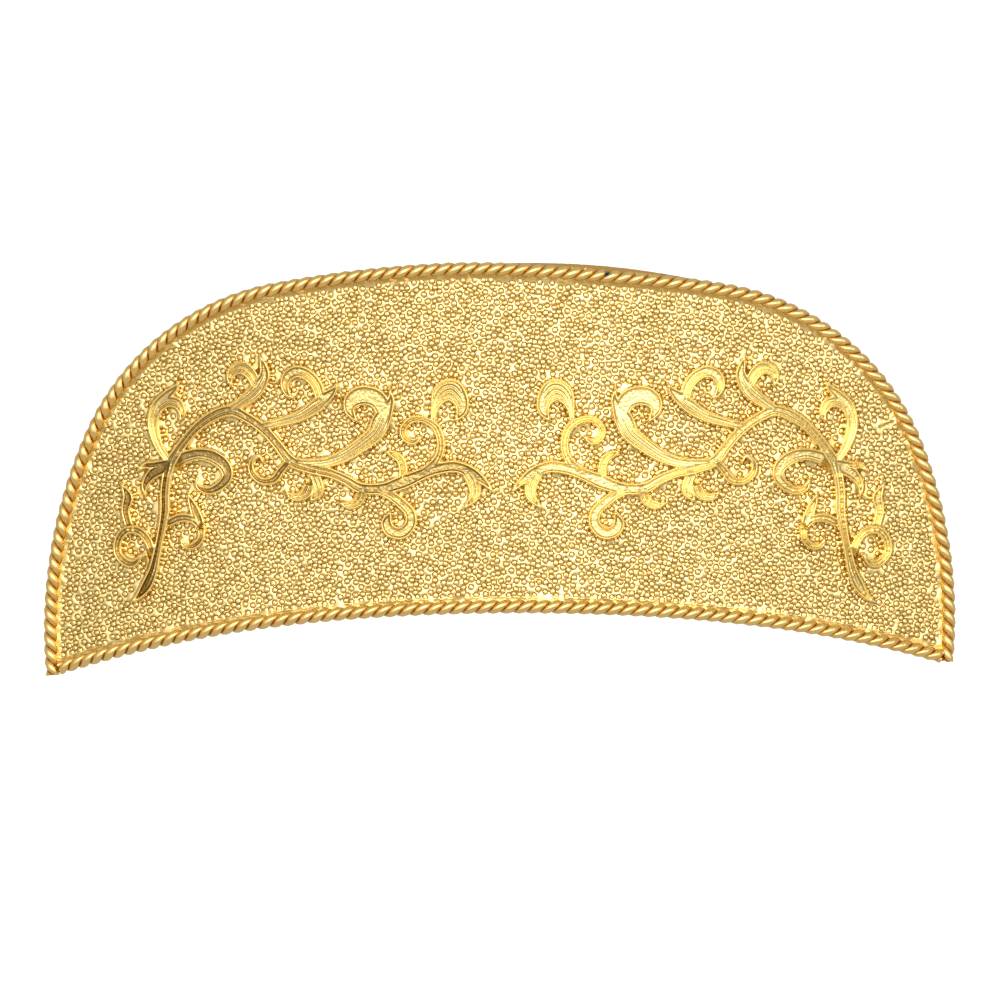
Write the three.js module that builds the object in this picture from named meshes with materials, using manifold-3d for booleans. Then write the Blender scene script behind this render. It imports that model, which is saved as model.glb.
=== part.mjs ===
import * as THREE from "three";
import { mergeVertices } from "three/addons/utils/BufferGeometryUtils.js";
import Module from "manifold-3d";

// A tiara front of gilt brass: a bent sheet with a twisted rope round its edge and two
// applied acanthus scrolls, lying on its back as it rests by itself.
// Sizes are in millimetres. The plan is the front seen square on, x to the right and y
// to the top edge, and z is the height towards the viewer.

// The sheet
const bendRadius = 176;
const bendReach = 27;
const bendFacets = 15;
const bendHalfLength = 60;
const sheetThickness = 1.2;
const sheetArchInset = 0.15;
const sheetBaseInset = 0.7;
const archPieces = 90;
const basePieces = 40;

// The plan's edge, as arcs from the middle outwards, each with its radius and turn in degrees
const archTop = { x: 0, y: 34.25 };
const archLeft = [
  { radius: 199.7, turn: 10.7 },
  { radius: 42.2, turn: 54.9 },
  { radius: 79.5, turn: 30.0 },
];
const archRight = [
  { radius: 199.7, turn: 11.1 },
  { radius: 42.2, turn: 58.0 },
  { radius: 79.5, turn: 26.2 },
];
const baseTop = { x: 3.4, y: -23.65 };
const baseLeft = [
  { radius: 370, turn: 3.6 },
  { radius: 262, turn: 4.3 },
  { radius: 188, turn: 10.3 },
];
const baseRight = [
  { radius: 370, turn: 3.6 },
  { radius: 262, turn: 4.3 },
  { radius: 188, turn: 8.3 },
];
const baseEnd = { radius: 188, turn: 5 };

// The prisms that cut the sheet reach past it on all sides
const cutter = { low: -40, high: 10, archDepth: -50, baseDepth: -60 };

// The rope: two strands, left-handed, soldered to the front of the sheet
const ropeRadius = 1.1;
const ropeWaist = 0.62;
const ropeSeat = 0.5;
const strandPitch = 2.13;
const stepsPerStrand = 2;
const ropeDip = { depth: 0.5, from: -10, to: 43 };
const ropeCorners = 4;
const ropeEndShare = 0.6;
const lengthSteps = 1200;

// The scrolls: castings that are riveted through the sheet
const pieceGap = 0.3;
const scrollMirror = 0.6;
const strokeCrest = 0.3;
const narrowStroke = 0.45;
const scrollTop = 5;
const rivetRadius = 0.8;
const rivetReach = 0.7;
const headRadius = 1.5;
const headThickness = 0.5;
const roundSides = 12;
const rivetPlaces = [
  { across: 54.4, up: 1.6 },
  { across: 34.7, up: 1.5 },
  { across: 10.1, up: 0.3 },
];

// The strap loops: plain strips bent square and soldered to the back for pins or a comb
const loopAcross = 40;
const loopUp = -4;
const loopWidth = 9;
const loopGap = 6.2;
const loopStrip = 0.9;
const loopDepth = 2;
const loopCorner = 1.5;
const loopSink = 0.4;

// Lying on its side edges, the sheet rocks back until its weight is over them, and it leans a
// little to its right because its left side is longer
const restTilt = 9.4;
const restLean = 0.16;

// The strokes of one scroll. A row has the stroke's height and the points of its middle line:
// distance from the mirror line, height in the plan, and width.
const strokes = [
  { name: "trunk", height: 1.6, line: [[54.5, 1.3, 2], [55.1, -1.3, 1.8], [55.4, -3.9, 1.8],
    [55.4, -6.6, 1.8], [55.8, -9.2, 1.6], [56.3, -11.7, 1.5], [56.8, -14.1, 1.6],
    [57.4, -16.6, 1.8], [58.4, -18.9, 2], [59.7, -20.7, 1.3], [61, -21.7, 0.3]] },
  { name: "stem", height: 1.7, line: [[54.5, 1.2, 2], [52.8, 3.8, 1.8], [50.4, 6.7, 1.8],
    [47.7, 8.7, 2], [44.6, 9.7, 2], [41.6, 8.4, 1.8], [38.9, 6.4, 1.8], [36.7, 3.9, 1.8],
    [34.7, 1.5, 2], [31.6, 0.3, 2], [28.3, -0.5, 1.8], [25.7, -1.6, 1.8], [23.1, -3, 2],
    [19.5, -3, 2.1], [16.3, -2, 2.5], [12.7, -0.5, 2.1], [10.1, 0.3, 2.1], [7.6, 0.5, 2.1],
    [5, -0.5, 2], [2.9, -2.1, 1.3], [1.4, -3.8, 0.3]] },
  { name: "end lobe", height: 1.5, line: [[6, 0, 2], [4.7, -2.3, 2.3], [4.7, -4.4, 1.8],
    [6.5, -6.4, 0.3]] },
  { name: "crest", height: 1.7, line: [[45.1, 9.5, 1.6], [42.6, 11.2, 2.1], [40.7, 12.7, 2.5],
    [39.5, 14.3, 2.3], [39, 15.9, 1.8], [39.3, 17.4, 1.2], [39.8, 18.7, 0.3]] },
  { name: "crest curl", height: 1.7, line: [[40.3, 13.5, 1.6], [41.3, 15.6, 1.6],
    [42.6, 17.1, 1.5], [44.1, 17.3, 1.5], [44.9, 16.1, 1.5], [44.8, 14.6, 1.2],
    [43.9, 13.6, 0.5]] },
  { name: "fan", height: 1.7, line: [[39.2, 7.2, 1.5], [35.4, 8.1, 1.8], [32.9, 9, 2.1],
    [30.6, 10.5, 2.5], [28.8, 12, 2.1], [27.7, 13, 1.3], [27, 14.1, 0.3]] },
  { name: "fan curl", height: 1.7, line: [[29.7, 11.7, 2], [30.5, 14, 2.1], [32, 15.6, 2.1],
    [33.8, 16.1, 2.1], [35.2, 15.3, 2], [35.7, 13.8, 1.6], [35.1, 12.3, 1], [34.3, 11.8, 0.5]] },
  { name: "great leaf", height: 1.9, line: [[35.1, 1.3, 1.6], [31.8, 1, 1.8], [28.7, 1.3, 2],
    [26, 2.3, 2.3], [23.6, 3.9, 2.5], [21.3, 5.9, 2.8], [19.6, 8.2, 2.8], [18.6, 10.2, 2],
    [18.2, 11.8, 1.3], [18.5, 13.6, 0.3]] },
  { name: "great curl", height: 1.9, line: [[19.6, 9.5, 2.5], [20.3, 11.8, 2.5], [22.1, 13, 2.8],
    [23.9, 13, 2.6], [25.2, 11.8, 2.3], [25.4, 10.2, 2], [24.7, 8.7, 1.3], [23.9, 7.7, 0.5]] },
  { name: "great rim", height: 1.6, line: [[23.9, 9.7, 0.7], [23.1, 10.5, 0.8], [21.9, 10.2, 1],
    [21.6, 9.2, 1], [21.9, 7.4, 1.2]] },
  { name: "bud curl", height: 1.5, line: [[35.1, 1.3, 1.3], [36.4, -0.2, 1.5], [37.5, -1.6, 1.5],
    [39.5, -1.8, 1.3], [41, -0.5, 1.3], [41.2, 1.2, 1], [40, 2.3, 0.8], [39.2, 1.3, 0.5]] },
  { name: "right lobe", height: 1.4, line: [[31.3, -0.3, 1.5], [30.6, -2.1, 2.5], [30.3, -3.6, 2],
    [31.3, -4.9, 0.7]] },
  { name: "left lobe", height: 1.4, line: [[31.6, -2, 1.6], [32.1, -3.6, 2], [33.3, -4.4, 1.6],
    [34.6, -4.3, 1.2], [35.6, -3.5, 0.3]] },
  { name: "sepal", height: 1.4, line: [[22.9, -3.1, 1.5], [23.4, -4.8, 1.8], [24.9, -5.8, 1.5],
    [27, -5.4, 0.3]] },
  { name: "low curl", height: 1.6, line: [[23.1, -3.3, 1.5], [19.8, -4.1, 1.6], [17, -5.3, 1.6],
    [14.7, -6.7, 1.5], [14.4, -8.5, 1.5], [15.5, -10.2, 1.5], [17.5, -11, 1.3], [19.3, -10, 1.3],
    [19.8, -8.4, 1.2], [18.6, -7.2, 1], [17.5, -7.9, 0.8], [18, -8.9, 0.7]] },
  { name: "hook", height: 1.5, line: [[16.3, -1.5, 1.5], [16.3, 0.3, 1.6], [16.8, 1.8, 1.6],
    [18, 2.6, 1.3], [19.3, 3, 0.3]] },
  { name: "tall curl", height: 1.8, line: [[15.7, -1.8, 1.5], [12.4, 0, 1.8], [10.6, 2, 1.5],
    [10.1, 4.4, 1.5], [10.9, 6.9, 1.5], [12.9, 8.2, 1.3], [14.9, 8.2, 1.3], [16.3, 6.7, 1.3],
    [16, 5.3, 1.3], [14.7, 4.6, 1.2], [13.4, 5.3, 0.7]] },
  { name: "top leaf", height: 1.6, line: [[11.4, 8.1, 1], [11.7, 10.2, 1.6], [10.8, 12.8, 2.1],
    [9.4, 14.5, 2.1], [7.8, 15, 2], [6.3, 14.1, 2], [5.7, 12.5, 1.8], [5.3, 10.8, 1.5],
    [6.2, 9.2, 1.2], [7.8, 7.7, 0.5]] },
  { name: "top lobe", height: 1.5, line: [[10.8, 8.4, 1], [10.6, 10.2, 1.5], [9.9, 11.5, 1.8],
    [8.6, 12, 2], [7.5, 11.3, 1.8], [7.1, 10, 1.5], [8.1, 8.7, 0.7]] },
  { name: "wing", height: 1.6, line: [[54.8, 1.5, 1.5], [56.3, 3.8, 1.6], [57.1, 6.1, 2],
    [57.3, 8.2, 2.1], [56.6, 10.4, 2.3], [55.1, 12.2, 1.8], [53.8, 13.3, 1.3], [53, 14.5, 0.3]] },
  { name: "wing curl", height: 1.5, line: [[56.3, 10.4, 2], [55, 11.2, 2], [53.5, 11, 2],
    [52.7, 10, 1.6], [52.5, 9, 1.2], [53, 8.1, 0.5]] },
  { name: "barb", height: 1.3, line: [[54.8, 1, 1.8], [57.1, 0.8, 1.5], [58.7, 0.7, 1.2],
    [60, -0.3, 0.3]] },
  { name: "low barb", height: 1.3, line: [[55.9, 0.3, 2.3], [57.6, -0.8, 2], [58.7, -2.6, 1.3],
    [58.6, -4.6, 0.3]] },
  { name: "thorn", height: 1.3, line: [[61.2, -9.5, 1.5], [61.9, -6.7, 1.6], [61.5, -4.4, 1.8],
    [62.7, -2.1, 0.3]] },
  { name: "outer curl", height: 1.5, line: [[57.3, -14.3, 1.3], [58.1, -11.7, 1.5],
    [59.7, -10, 1.5], [61.7, -9.9, 1.5], [63, -11.3, 1.5], [63.2, -13.5, 1.5], [61.9, -15.1, 1.5],
    [60.5, -15.3, 1.3], [59.2, -14, 0.7]] },
  { name: "inner curl", height: 1.5, line: [[55.6, -9.2, 1.5], [53.1, -7.9, 1.6],
    [50.8, -8.1, 1.5], [49.5, -9.5, 1.5], [49.5, -11.3, 1.3], [50.8, -12.5, 1.3],
    [52.3, -12.3, 1], [52.8, -11.3, 0.5]] },
  { name: "spur", height: 1.3, line: [[51.3, -8.2, 1.6], [51.8, -6.2, 1.5], [52.2, -4.3, 1],
    [52.3, -2.3, 0.3]] },
  { name: "round curl", height: 1.6, line: [[54, 1, 2.5], [52, 2.1, 2.3], [49.7, 2.6, 2.1],
    [47.4, 2.1, 2.1], [45.4, 0.7, 1.8], [44.9, -1, 1.6], [46.1, -2.6, 1.5], [48.1, -3.5, 1.3],
    [49.9, -2.8, 1], [50.4, -1.3, 0.5]] },
];

const wasm = await Module();
wasm.setup();

function solidOf(geometry) {
  const bare = geometry.index ? geometry.toNonIndexed() : geometry.clone();
  bare.deleteAttribute("normal");
  bare.deleteAttribute("uv");
  const merged = mergeVertices(bare, 1e-4);
  return new wasm.Manifold(
    new wasm.Mesh({
      numProp: 3,
      vertProperties: merged.attributes.position.array,
      triVerts: new Uint32Array(merged.index.array),
    }),
  );
}

function geometryOf(solid) {
  const mesh = solid.getMesh();
  const geometry = new THREE.BufferGeometry();
  geometry.setAttribute("position", new THREE.BufferAttribute(mesh.vertProperties, 3));
  geometry.setIndex(new THREE.BufferAttribute(mesh.triVerts, 1));
  geometry.computeVertexNormals();
  return geometry;
}

// A closed body through rings of points, each anticlockwise as seen from the far end
function loft(rings) {
  const corners = rings.flat();
  const count = rings[0].length;
  const faces = [];
  for (let r = 0; r + 1 < rings.length; r += 1) {
    for (let i = 0; i < count; i += 1) {
      const next = (i + 1) % count;
      const near = r * count;
      const far = near + count;
      faces.push(near + i, near + next, far + next);
      faces.push(near + i, far + next, far + i);
    }
  }
  const last = (rings.length - 1) * count;
  for (let i = 1; i + 1 < count; i += 1) {
    faces.push(0, i + 1, i);
    faces.push(last, last + i, last + i + 1);
  }
  const geometry = new THREE.BufferGeometry().setFromPoints(corners);
  geometry.setIndex(faces);
  return solidOf(geometry);
}

// The bent front: its height in the plan, its slope and its outward normal
const bendAngle = (x) => Math.asin(x / bendRadius);
const frontHeight = (x) => bendRadius * (Math.cos(bendAngle(x)) - 1);
const frontNormal = (x) => new THREE.Vector3(Math.sin(bendAngle(x)), 0, Math.cos(bendAngle(x)));

// A bent layer between two depths from the front, in facets, wider than the whole plan
function bentLayer(low, high) {
  const reach = THREE.MathUtils.degToRad(bendReach);
  const rings = [];
  for (let i = 0; i <= bendFacets; i += 1) {
    const angle = reach * ((2 * i) / bendFacets - 1);
    const at = (y, depth) => new THREE.Vector3(
      (bendRadius + depth) * Math.sin(angle),
      y,
      (bendRadius + depth) * Math.cos(angle) - bendRadius,
    );
    rings.push([
      at(-bendHalfLength, low),
      at(bendHalfLength, low),
      at(bendHalfLength, high),
      at(-bendHalfLength, high),
    ]);
  }
  return loft(rings);
}

// A piece made with its base at z = 0, stood on the bent front at a place in the plan
function onFront(geometry, x, y) {
  const place = new THREE.Matrix4().makeRotationY(bendAngle(x));
  place.setPosition(x, y, frontHeight(x));
  return geometry.applyMatrix4(place);
}

// One side of an edge, from its top outwards: tangent arcs, moved outwards by an offset
function edgeArcs(top, rows, side, offset) {
  const centre = new THREE.Vector2(top.x, top.y);
  const arcs = [];
  let heading = 0;
  let lastRadius = 0;
  for (const row of rows) {
    const back = lastRadius - row.radius;
    centre.x += back * side * Math.sin(heading);
    centre.y += back * Math.cos(heading);
    const turn = THREE.MathUtils.degToRad(row.turn);
    arcs.push({
      centre: centre.clone(),
      radius: row.radius + offset,
      side,
      from: heading,
      to: heading + turn,
    });
    heading += turn;
    lastRadius = row.radius;
  }
  return arcs;
}

// A whole edge from left to right, in the plan
class EdgeLine extends THREE.Curve {
  constructor(top, left, right, offset) {
    super();
    const leftward = edgeArcs(top, left, -1, offset).reverse();
    const flipped = leftward.map((arc) => ({ ...arc, from: arc.to, to: arc.from }));
    this.arcs = [...flipped, ...edgeArcs(top, right, 1, offset)];
    this.lengths = this.arcs.map((arc) => arc.radius * Math.abs(arc.to - arc.from));
    this.total = this.lengths.reduce((sum, length) => sum + length, 0);
  }

  getPoint(t) {
    let along = t * this.total;
    let i = 0;
    while (i + 1 < this.arcs.length && along > this.lengths[i]) {
      along -= this.lengths[i];
      i += 1;
    }
    const arc = this.arcs[i];
    const angle = THREE.MathUtils.lerp(arc.from, arc.to, along / this.lengths[i]);
    return new THREE.Vector3(
      arc.centre.x + arc.side * arc.radius * Math.sin(angle),
      arc.centre.y + arc.radius * Math.cos(angle),
      0,
    );
  }
}

// The middle of a rope: an edge line laid on the bent front, with the dip it has near the top
class RopeLine extends THREE.Curve {
  constructor(edge, dip) {
    super();
    this.edge = edge;
    this.dip = dip;
    this.arcLengthDivisions = lengthSteps;
  }

  getPoint(t) {
    const point = this.edge.getPoint(t);
    const share = (point.x - ropeDip.from) / (ropeDip.to - ropeDip.from);
    const dip = share > 0 && share < 1 ? this.dip * Math.sin(Math.PI * share) ** 2 : 0;
    point.y -= dip;
    point.z = frontHeight(point.x);
    return point.addScaledVector(frontNormal(point.x), ropeSeat);
  }
}

function rope(line, strands) {
  const steps = strands * stepsPerStrand;
  const rings = [];
  for (let i = 0; i <= steps; i += 1) {
    const point = line.getPointAt(i / steps);
    const along = line.getTangentAt(i / steps);
    const out = frontNormal(point.x);
    const side = new THREE.Vector3().crossVectors(out, along).normalize();
    out.crossVectors(along, side);
    const end = Math.min(i, steps - i);
    const swell = end === 0 ? ropeEndShare : 1;
    const spin = (-Math.PI * i) / stepsPerStrand;
    const ring = [];
    for (let k = 0; k < ropeCorners; k += 1) {
      const angle = spin + (2 * Math.PI * k) / ropeCorners;
      const reach = swell * (k % 2 === 0 ? ropeRadius : ropeWaist);
      ring.push(point.clone()
        .addScaledVector(side, reach * Math.cos(angle))
        .addScaledVector(out, reach * Math.sin(angle)));
    }
    rings.push(ring);
  }
  return loft(rings);
}

// An upright prism over a closed plan
function prism(points, low, high) {
  const shape = new THREE.Shape(points);
  const geometry = new THREE.ExtrudeGeometry(shape, { depth: high - low, bevelEnabled: false });
  return solidOf(geometry.translate(0, 0, low));
}

// The plan under an edge line, down to a depth
function planUnder(line, depth, pieces) {
  const edge = line.getSpacedPoints(pieces).map((point) => new THREE.Vector2(point.x, point.y));
  const first = edge[0];
  const last = edge[edge.length - 1];
  return [...edge, new THREE.Vector2(last.x, depth), new THREE.Vector2(first.x, depth)];
}

function roundBar(radius, low, high) {
  const bar = new THREE.CylinderGeometry(radius, radius, high - low, roundSides);
  return bar.rotateX(Math.PI / 2).translate(0, 0, (low + high) / 2);
}

const rivetSpots = [-1, 1].flatMap((side) => rivetPlaces.map((place) => ({
  side,
  x: scrollMirror + side * place.across,
  y: place.up,
})));

function sheet() {
  const arch = new EdgeLine(archTop, archLeft, archRight, -sheetArchInset);
  const base = new EdgeLine(baseTop, [...baseLeft, baseEnd], [...baseRight, baseEnd], sheetBaseInset);
  const body = bentLayer(-sheetThickness, 0)
    .intersect(prism(planUnder(arch, cutter.archDepth, archPieces), cutter.low, cutter.high))
    .subtract(prism(planUnder(base, cutter.baseDepth, basePieces), cutter.low, cutter.high));
  return rivetSpots.reduce((drilled, spot) => {
    const hole = roundBar(rivetRadius + pieceGap, -2 * sheetThickness, sheetThickness);
    return drilled.subtract(solidOf(onFront(hole, spot.x, spot.y)));
  }, body);
}

function strapLoop(side) {
  const outer = loopWidth / 2;
  const inner = outer - loopStrip;
  const foot = loopGap + loopStrip;
  const innerCorner = loopCorner - loopStrip;
  const shape = new THREE.Shape();
  shape.moveTo(-outer, loopSink);
  shape.lineTo(-outer, loopCorner - foot);
  shape.absarc(loopCorner - outer, loopCorner - foot, loopCorner, Math.PI, 1.5 * Math.PI);
  shape.absarc(outer - loopCorner, loopCorner - foot, loopCorner, -0.5 * Math.PI, 0);
  shape.lineTo(outer, loopSink);
  shape.lineTo(inner, loopSink);
  shape.absarc(inner - innerCorner, innerCorner - loopGap, innerCorner, 0, -0.5 * Math.PI, true);
  shape.absarc(
    innerCorner - inner,
    innerCorner - loopGap,
    innerCorner,
    -0.5 * Math.PI,
    -Math.PI,
    true,
  );
  shape.lineTo(-inner, loopSink);
  const strip = new THREE.ExtrudeGeometry(shape, {
    depth: loopDepth,
    bevelEnabled: false,
    curveSegments: 3,
  });
  strip.rotateX(Math.PI / 2);
  strip.translate(0, loopDepth / 2, -sheetThickness);
  return solidOf(onFront(strip, side * loopAcross, loopUp));
}

function plate() {
  const archMiddle = new EdgeLine(archTop, archLeft, archRight, -ropeRadius);
  const baseMiddle = new EdgeLine(baseTop, baseLeft, baseRight, ropeRadius);
  const archRope = new RopeLine(archMiddle, ropeDip.depth);
  const baseRope = new RopeLine(baseMiddle, 0);
  return [archRope, baseRope]
    .map((line) => rope(line, Math.round(line.getLength() / strandPitch)))
    .reduce((joined, piece) => joined.add(piece), sheet())
    .add(strapLoop(-1))
    .add(strapLoop(1));
}

// One stroke of a scroll: a ridge with a narrower top, swept along its middle line on the bent front
function stroke(row, side) {
  const middle = new THREE.CatmullRomCurve3(
    row.line.map(([across, up]) => new THREE.Vector3(scrollMirror + side * across, up, 0)),
  );
  const rings = row.line.map(([across, up, width], i) => {
    const along = middle.getTangent(i / (row.line.length - 1));
    const height = row.height * Math.min(1, narrowStroke + width / 2);
    const at = (share, z) => {
      const x = scrollMirror + side * across - along.y * share * width;
      const y = up + along.x * share * width;
      return new THREE.Vector3(x, y, frontHeight(x) + z);
    };
    return [
      at(-0.5, -sheetThickness / 2),
      at(0.5, -sheetThickness / 2),
      at(strokeCrest, height),
      at(-strokeCrest, height),
    ];
  });
  return loft(rings);
}

function scroll(side) {
  const relief = strokes
    .map((row) => stroke(row, side))
    .reduce((joined, piece) => joined.add(piece))
    .intersect(bentLayer(pieceGap, scrollTop));
  const backOfHead = -sheetThickness - pieceGap - headThickness;
  return rivetSpots.filter((spot) => spot.side === side).reduce((joined, spot) => {
    const post = roundBar(rivetRadius, backOfHead + headThickness / 2, rivetReach);
    const head = roundBar(headRadius, backOfHead, backOfHead + headThickness);
    return joined
      .add(solidOf(onFront(post, spot.x, spot.y)))
      .add(solidOf(onFront(head, spot.x, spot.y)));
  }, relief);
}

function named(name, solid, material) {
  const mesh = new THREE.Mesh(geometryOf(solid), material);
  mesh.name = name;
  return mesh;
}

const giltPlate = new THREE.MeshStandardMaterial({
  color: 0xd9b656,
  metalness: 1,
  roughness: 0.3,
});
const giltCasting = new THREE.MeshStandardMaterial({
  color: 0xcda544,
  metalness: 1,
  roughness: 0.35,
});

const tilted = new THREE.Group();
tilted.add(named("plate", plate(), giltPlate));
tilted.add(named("scroll_left", scroll(-1), giltCasting));
tilted.add(named("scroll_right", scroll(1), giltCasting));
tilted.rotation.x = -THREE.MathUtils.degToRad(restTilt);
const lying = new THREE.Group();
lying.add(tilted);
lying.rotation.y = THREE.MathUtils.degToRad(restLean);

// The origin is the middle of the box at the surface it lies on
const box = new THREE.Box3().setFromObject(lying, true);
const middleOfBox = box.getCenter(new THREE.Vector3());
lying.position.set(-middleOfBox.x, -middleOfBox.y, -box.min.z);

const tiara = new THREE.Group();
tiara.add(lying);
export default tiara;
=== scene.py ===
import bpy
import math
import random
import numpy as np
from mathutils import Matrix, Vector, kdtree, noise
from mathutils.geometry import delaunay_2d_cdt, intersect_line_line_2d


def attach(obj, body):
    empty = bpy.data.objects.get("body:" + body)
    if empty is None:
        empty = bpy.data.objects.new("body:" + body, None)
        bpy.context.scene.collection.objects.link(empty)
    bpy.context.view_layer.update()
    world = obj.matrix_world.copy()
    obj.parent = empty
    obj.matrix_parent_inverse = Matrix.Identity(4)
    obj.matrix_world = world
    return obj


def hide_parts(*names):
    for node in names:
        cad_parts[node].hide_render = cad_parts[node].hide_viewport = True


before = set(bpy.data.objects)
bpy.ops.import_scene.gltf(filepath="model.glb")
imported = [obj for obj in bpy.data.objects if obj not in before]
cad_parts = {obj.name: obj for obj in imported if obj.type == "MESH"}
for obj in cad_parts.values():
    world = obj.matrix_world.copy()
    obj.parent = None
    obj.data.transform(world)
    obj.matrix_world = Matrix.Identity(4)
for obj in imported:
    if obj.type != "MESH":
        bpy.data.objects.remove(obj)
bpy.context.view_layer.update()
random.seed(7)
dice = np.random.default_rng(7)
sharpAngle = math.radians(40)  # edges sharper than this stay crisp

# Each piece is modelled over the plan in millimetres: x to the right, y to the top edge and z out
# of the front. layDown then sets it in the frame, rocked back on its side edges as the solids lie.
rest = {"tilt": 9.4, "lean": 0.16, "middle": (-0.0681, 1.2988, 16.3332)}
layDown = (
    Matrix.Scale(0.001, 4)
    @ Matrix.Translation(rest["middle"])
    @ Matrix.Rotation(math.radians(rest["lean"]), 4, "Y")
    @ Matrix.Rotation(-math.radians(rest["tilt"]), 4, "X")
)


def linear(code):
    channels = [int(code[i : i + 2], 16) / 255 for i in (0, 2, 4)]
    return tuple(c / 12.92 if c <= 0.04045 else ((c + 0.055) / 1.055) ** 2.4 for c in channels) + (1,)


def addNode(tree, kind, settings=None, links=None):
    node = tree.nodes.new(kind)
    for name, value in (settings or {}).items():
        if isinstance(name, int) or name in node.inputs:
            node.inputs[name].default_value = value
        else:
            setattr(node, name, value)
    for name, socket in (links or {}).items():
        tree.links.new(socket, node.inputs[name])
    return node


def onlyThis(piece):
    bpy.ops.object.select_all(action="DESELECT")
    piece.select_set(True)
    bpy.context.view_layer.objects.active = piece


def applyAll(piece):
    onlyThis(piece)
    for modifier in list(piece.modifiers):
        bpy.ops.object.modifier_apply(modifier=modifier.name)


def copyOf(piece):
    other = piece.copy()
    other.data = piece.data.copy()
    bpy.context.scene.collection.objects.link(other)
    return other


def joinTo(first, others):
    onlyThis(first)
    for other in others:
        other.select_set(True)
    bpy.ops.object.join()


def giveAttribute(mesh, name, values):
    attribute = mesh.attributes.new(name, "FLOAT", "POINT")
    attribute.data.foreach_set("value", np.asarray(values, np.float32))


def meshPiece(name, points, faces, **attributes):
    mesh = bpy.data.meshes.new(name)
    mesh.from_pydata(points, [], faces)
    for attributeName, values in attributes.items():
        giveAttribute(mesh, attributeName, values)
    mesh.shade_smooth()
    piece = bpy.data.objects.new(name, mesh)
    bpy.context.scene.collection.objects.link(piece)
    return piece


def planTree(places):  # finds the nearest of these places in the plan
    tree = kdtree.KDTree(len(places))
    for i, place in enumerate(places):
        tree.insert((place[0], place[1], 0), i)
    tree.balance()
    return tree


def settle(piece, name, node, material):
    piece.name = piece.data.name = name
    piece.data.transform(layDown)
    piece.data.materials.clear()
    piece.data.materials.append(material)
    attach(piece, "root")
    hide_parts(node)
    print("made", name, len(piece.data.polygons), "faces")


# The bent sheet: part of a cylinder whose axis runs from the lower edge to the top edge
bend = {"radius": 176, "thickness": 1.2}


def bentHeight(x, depth=0):  # of the front at x, or of what is that deep under it
    return np.sqrt((bend["radius"] - depth) ** 2 - x * x) - bend["radius"]


def standAt(x, y, depth=0):  # upright on the bent front, or that deep under it
    angle = math.asin(x / bend["radius"])
    return (
        Matrix.Translation((x, y, float(bentHeight(x))))
        @ Matrix.Rotation(angle, 4, "Y")
        @ Matrix.Translation((0, 0, -depth))
    )


# The edge of the plan: arcs from the middle outwards, each with its radius and its turn in degrees
arch = {
    "top": (0, 34.25),
    "left": [(199.7, 10.7), (42.2, 54.9), (79.5, 30.0)],
    "right": [(199.7, 11.1), (42.2, 58.0), (79.5, 26.2)],
}
base = {
    "top": (3.4, -23.65),
    "left": [(370, 3.6), (262, 4.3), (188, 10.3)],
    "right": [(370, 3.6), (262, 4.3), (188, 8.3)],
}


def halfEdge(top, arcs, side, offset, step):  # offset outwards, so a negative one is further in
    x, y = top
    heading = lastRadius = 0
    points = []
    for number, (radius, turn) in enumerate(arcs):
        x += (lastRadius - radius) * side * math.sin(heading)
        y += (lastRadius - radius) * math.cos(heading)
        swing = math.radians(turn)
        count = max(2, round((radius + offset) * swing / step))
        for i in range(count + 1 if number == len(arcs) - 1 else count):
            angle = heading + swing * i / count
            points.append((
                x + side * (radius + offset) * math.sin(angle),
                y + (radius + offset) * math.cos(angle),
            ))
        heading += swing
        lastRadius = radius
    return points


def edgeLine(edge, offset, step, extra=0):  # from left to right, running on by the extra degrees
    halves = []
    for name, side in (("left", -1), ("right", 1)):
        arcs = [*edge[name][:-1], (edge[name][-1][0], edge[name][-1][1] + extra)]
        halves.append(halfEdge(edge["top"], arcs, side, offset, step))
    return halves[0][::-1] + halves[1][1:]


# The rope: two strands wound left-handed and soldered along the edge
rope = {
    "radius": 1.17,
    "strand": 0.65,  # radius of one strand
    "inset": 1.28,  # from the edge to its middle
    "pitch": 2.13,  # from strand to strand along the rope
    "step": 0.8,  # of its middle line
    "seat": 0.44,  # height of its middle over the front
    "sides": 10,
    "stepsPerTurn": 14,
    "deep": (0.55, 0.95),  # shares of the radius: full painted shade between the strands up to the first, none from the second
    "dip": 0.5,  # the arch rope sits this much lower near the top, where the sheet shows past it
    "dipFrom": -10,
    "dipTo": 43,
    "endRound": 0.45,
    "baseEnd": 72.6,  # the base rope stops here, beside the arch rope
}


def dipShare(x):  # 1 in the middle of the stretch where the rope lies lower, 0 outside it
    share = (x - rope["dipFrom"]) / (rope["dipTo"] - rope["dipFrom"])
    return math.sin(math.pi * min(max(share, 0), 1)) ** 2


def ropeMiddle(edge, offset, dip):
    line = []
    for x, y in edgeLine(edge, offset, rope["step"]):
        line.append(standAt(x, y - dip * dipShare(x)) @ Vector((0, 0, rope["seat"])))
    return line


archRopeLine = ropeMiddle(arch, -rope["inset"], rope["dip"])
baseRopeLine = [p for p in ropeMiddle(base, rope["inset"], 0) if abs(p.x) < rope["baseEnd"]]
ropeTree = planTree(archRopeLine + baseRopeLine)
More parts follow.
